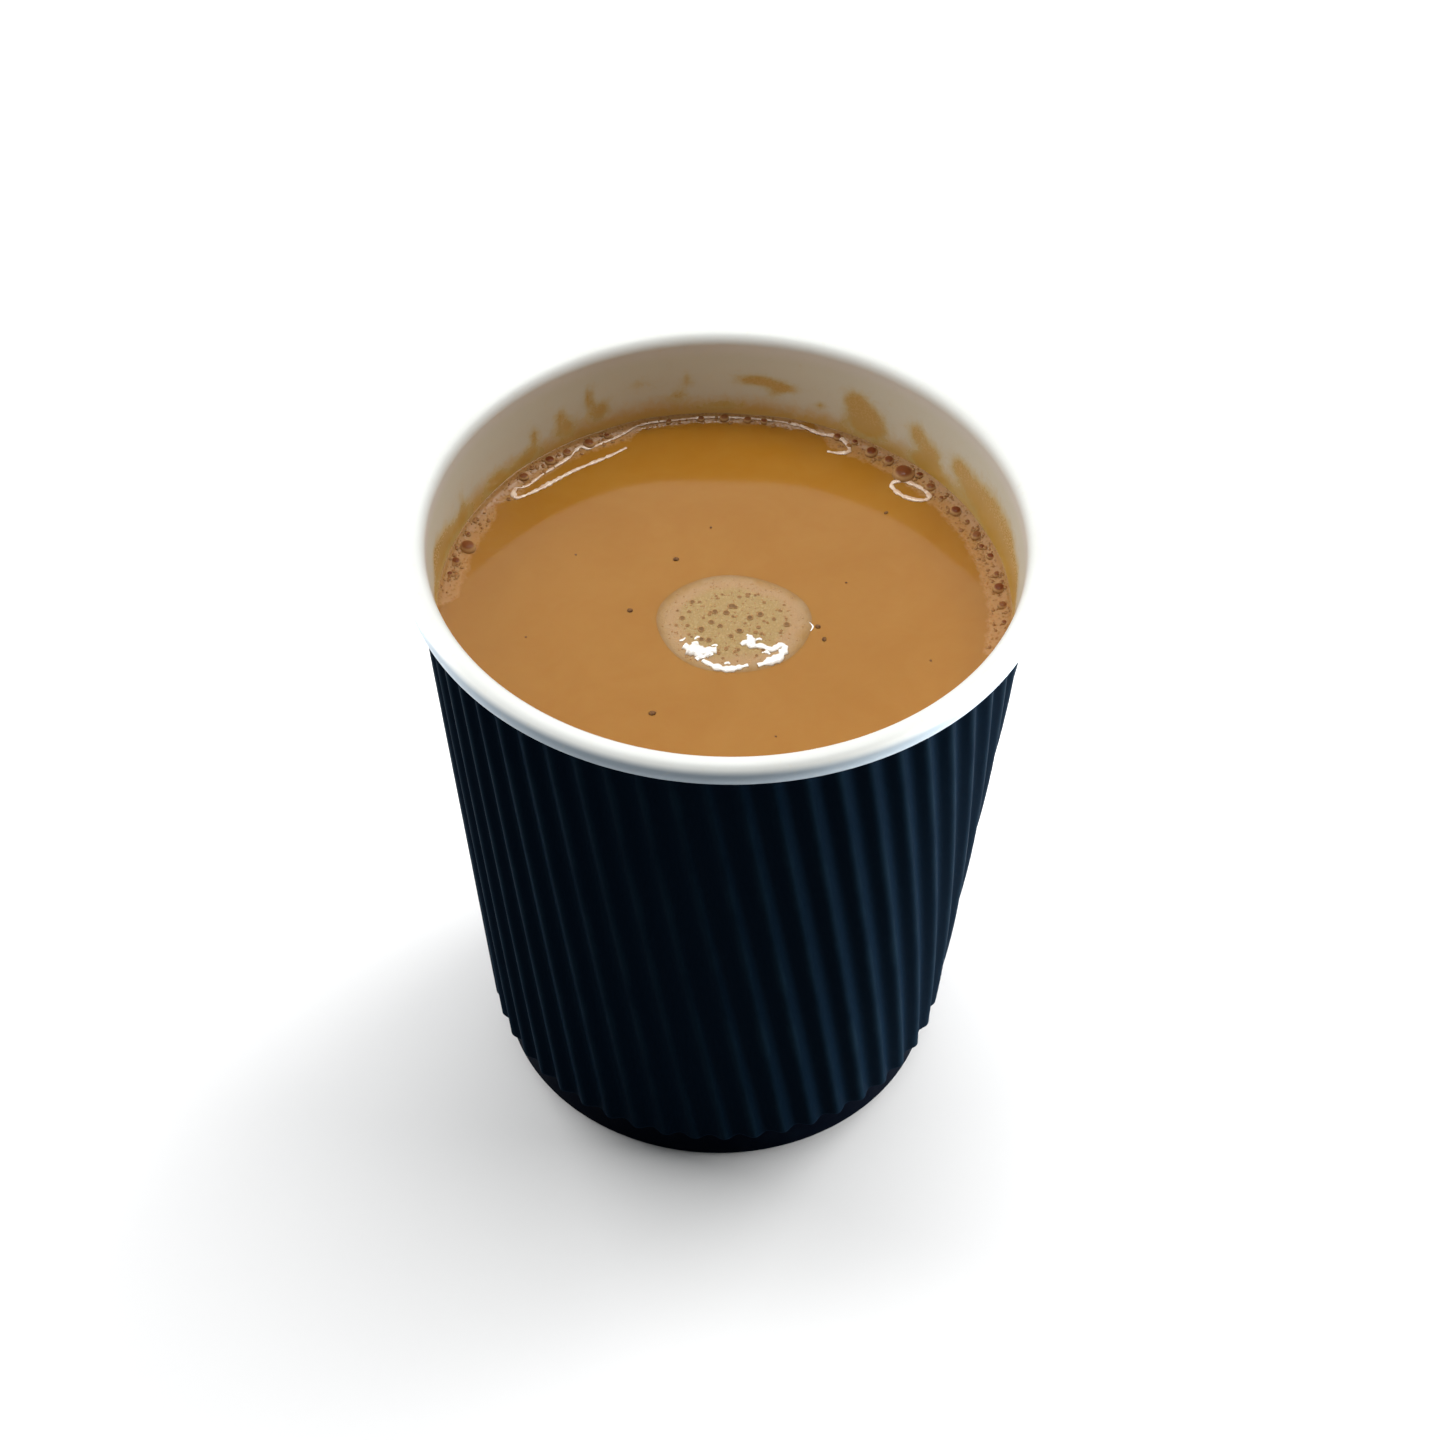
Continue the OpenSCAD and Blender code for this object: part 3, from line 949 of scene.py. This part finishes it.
def rimTree():
    tree, given = newTree("film rims", {**rims["sizes"], "Material": None})
    start = Wire(tree)
    line = start.make("GeometryNodeMeshToCurve", None, {0: given["Geometry"]})
    line = start.make("GeometryNodeCurveSplineType", {"spline_type": "CATMULL_ROM"}, {0: line})
    line = start.make("GeometryNodeResampleCurve", {"mode": "LENGTH"}, {
        0: line, "Length": given["Step"] * mm})
    place = start.make("GeometryNodeInputPosition")
    line = keep(start, line, "level", axisPart(start, place, "Z"))
    beads = start.make("ShaderNodeTexNoise", None, {"Vector": place, "Scale": 1 / (0.6 * mm)})
    girth = named(start, "girth") * (1 + (beads - 0.5) * 2 * given["Unevenness"])
    section = start.make("GeometryNodeCurvePrimitiveCircle", None, {
        "Resolution": given["Corners"], "Radius": mm})
    tube = start.make("GeometryNodeCurveToMesh", None, {
        0: line, 1: section, "Scale": girth.math("MAXIMUM", rims["thinnest"]),
        "Fill Caps": True})
    level = named(start, "level")
    z = level + (axisPart(start, place, "Z") - level) * given["Flatness"]
    flat = start.make("ShaderNodeCombineXYZ", None, {
        0: axisPart(start, place, "X"), 1: axisPart(start, place, "Y"), 2: z})
    tube = start.make("GeometryNodeSetPosition", None, {0: tube, "Position": flat})
    endTree(start, tube, given["Material"])
    return tree


def glintRimMaterial():
    def look(start, place):
        # painted highlight: pale beads, and near-white rims on the froth, stand in for glints
        beads = noise(start, place, 0.7).smooth(0.35, 0.65)
        base = beads.tint(rims["between"], rims["glintBead"])
        return {"Base Color": attribute(start, "pale").tint(base, rims["onFroth"])}
    constants = {"Roughness": 0.08, "IOR": 1.45, "Coat Weight": 1.0, "Coat Roughness": 0.03}
    return newMaterial("filmRim", constants, look)


# raised rims of burst films, whose pale colour is partly painted highlight standing in for glints:
# half width in mm, and the points that each one passes; those within the froth are painted paler
# still, near-white as glints
glintFilmRims = [
    (0.29, [(-13.3, 29.3), (-15.2, 27.8), (-17.6, 26.2), (-20, 24.6), (-22.4, 22.6), (-24.8, 20.6),
           (-26.9, 19.3), (-27.5, 20.0), (-27.2, 21.0)]),
    (0.22, [(-27.2, 21.0), (-25.8, 21.6), (-24, 23.7), (-22.1, 25.6), (-20.6, 27.2), (-19.3, 29.0),
           (-18.2, 28.9), (-16.3, 30.1), (-14.3, 31.4), (-12, 33.1)]),
    (0.2, [(-12, 33.1), (-10.1, 33.8), (-7, 34.5), (-3.5, 35.1), (0, 35.3), (4, 35.1), (7, 34.6)]),
    (0.3, [(7, 34.6), (9.5, 33.9), (11.8, 32.7), (14.3, 32.0), (15.6, 30.6), (15.7, 29.5),
           (14.4, 29.2), (12.9, 29.5)]),
    (0.32, [(21.2, 23.5), (21.6, 22.3), (23, 21.0), (24.8, 20.5), (26, 20.9), (25.6, 22.1),
            (24.2, 23.3), (22.5, 24.1), (21.2, 23.5)]),
    (0.95, [(-4.9, -7.0), (-3.9, -7.6), (-3, -8.4), (-2.6, -9.2)]),
    (0.85, [(-0.9, -7.7), (-2.2, -7.8), (-3.1, -8.0), (-3.6, -6.4)]),
    (0.6, [(-3.4, -9.3), (-2.6, -8.6), (-1.8, -8.3), (-1.4, -8.6)]),
    (0.46, [(-2.6, -9.4), (-1.0, -10.4), (0.5, -10.8), (2, -10.4), (3, -10)]),
    (0.62, [(4.2, -10), (5.5, -9.4), (6.8, -8.6), (7.4, -7.4), (7.6, -6.6)]),
    (0.44, [(7.6, -6.7), (6.9, -6.5), (5.9, -7.3), (4.6, -6.8), (3.4, -6.9)]),
    (0.3, [(4.7, -7.9), (5.2, -7.7), (5.7, -8.1)]),
    (0.22, [(3.9, -5.9), (4.2, -5.6), (4.7, -5.7)]),
    (0.26, [(-5.5, -6.1), (-5.1, -6.0), (-4.8, -5.6)]),
    (0.22, [(-3.6, -5.9), (-3.4, -5.5), (-3.0, -5.5)]),
    (0.24, [(-1.5, -7.0), (-1.1, -6.8), (-0.8, -7.0)]),
    (0.2, [(0.1, -9.9), (0.5, -9.7), (0.8, -9.9)]),
    (0.5, [(2.1, -6.7), (2.9, -6.2), (3.5, -6.9), (3.2, -5.4), (2.8, -5.0)]),
    (0.11, [(10.6, -2.3), (11, -3), (10.7, -3.8)]),
]


def buildRims():
    points, edges, girths, pale = [], [], [], []
    for girth, line in glintFilmRims:
        first = len(points)
        closed = line[0] == line[-1]
        for k, (x, y) in enumerate(line[:-1] if closed else line):
            aside = (x - froth["middle"][0]) / froth["halfWidth"]
            ahead = (y - froth["middle"][1]) / froth["halfDepth"]
            rise = frothHeight(min(1, math.hypot(aside, ahead)))
            points.append(Vector((x, y, teaHeight(x, y) + rise)) * mm)
            # rims on the froth take the near-white painted glint colour
            pale.append(1.0 if rise > 0 else 0.0)
            girths.append(girth if closed or 0 < k < len(line) - 1 else girth * 0.5)
            if k:
                edges.append((len(points) - 2, len(points) - 1))
        if closed:
            edges.append((len(points) - 1, first))
    piece = newPiece("film_rims", [], [])
    piece.data.from_pydata([tuple(p) for p in points], edges, [])
    addAttribute(piece, "girth", girths)
    addAttribute(piece, "pale", pale)
    return grow(piece, rimTree(), {**rims["sizes"], "Material": glintRimMaterial()})


def finishBase():
    # the recessed floor keeps its CAD shape and gets plain board
    def look(start, place):
        fibres = noise(start, place, 0.3, 3.0)
        return {"Base Color": boardTone(noise(start, place, 12.0)),
                "Roughness": 0.5 + (fibres - 0.5) * 0.1,
                "Normal": bump(start, fibres, 0.02, 0.5)}
    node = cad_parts["cup_base"]
    node.data.materials.clear()
    node.data.materials.append(newMaterial("baseBoard", {}, look))


addCamera()
addLights()
addFloor()
print("camera, lights and floor are up")

finishBase()
paperCup = buildCup()
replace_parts(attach(paperCup, "root"), "cup_wall")
print("paper cup:", len(paperCup.data.polygons), "faces")

flutes = buildSleeve()
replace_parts(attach(flutes, "root"), "ripple_sleeve")
print("sleeve:", len(flutes.data.polygons), "faces")

chai = buildTea()
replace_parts(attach(chai, "root"), "tea")
raft = buildFroth()
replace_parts(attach(raft, "root"), "froth")
print("tea and froth:", len(chai.data.polygons) + len(raft.data.polygons), "faces")

floaters = floaterTree()
wallBubblePieces = buildWallBubbles(floaters)
frothFoam = buildFrothBubbles(floaters)
specks = buildSpice(floaters)
burstFilmGlints = buildRims()
for floater in (*wallBubblePieces, frothFoam, specks, burstFilmGlints):
    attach(floater, "root")
    print(floater.name + ":", len(floater.data.polygons), "faces")
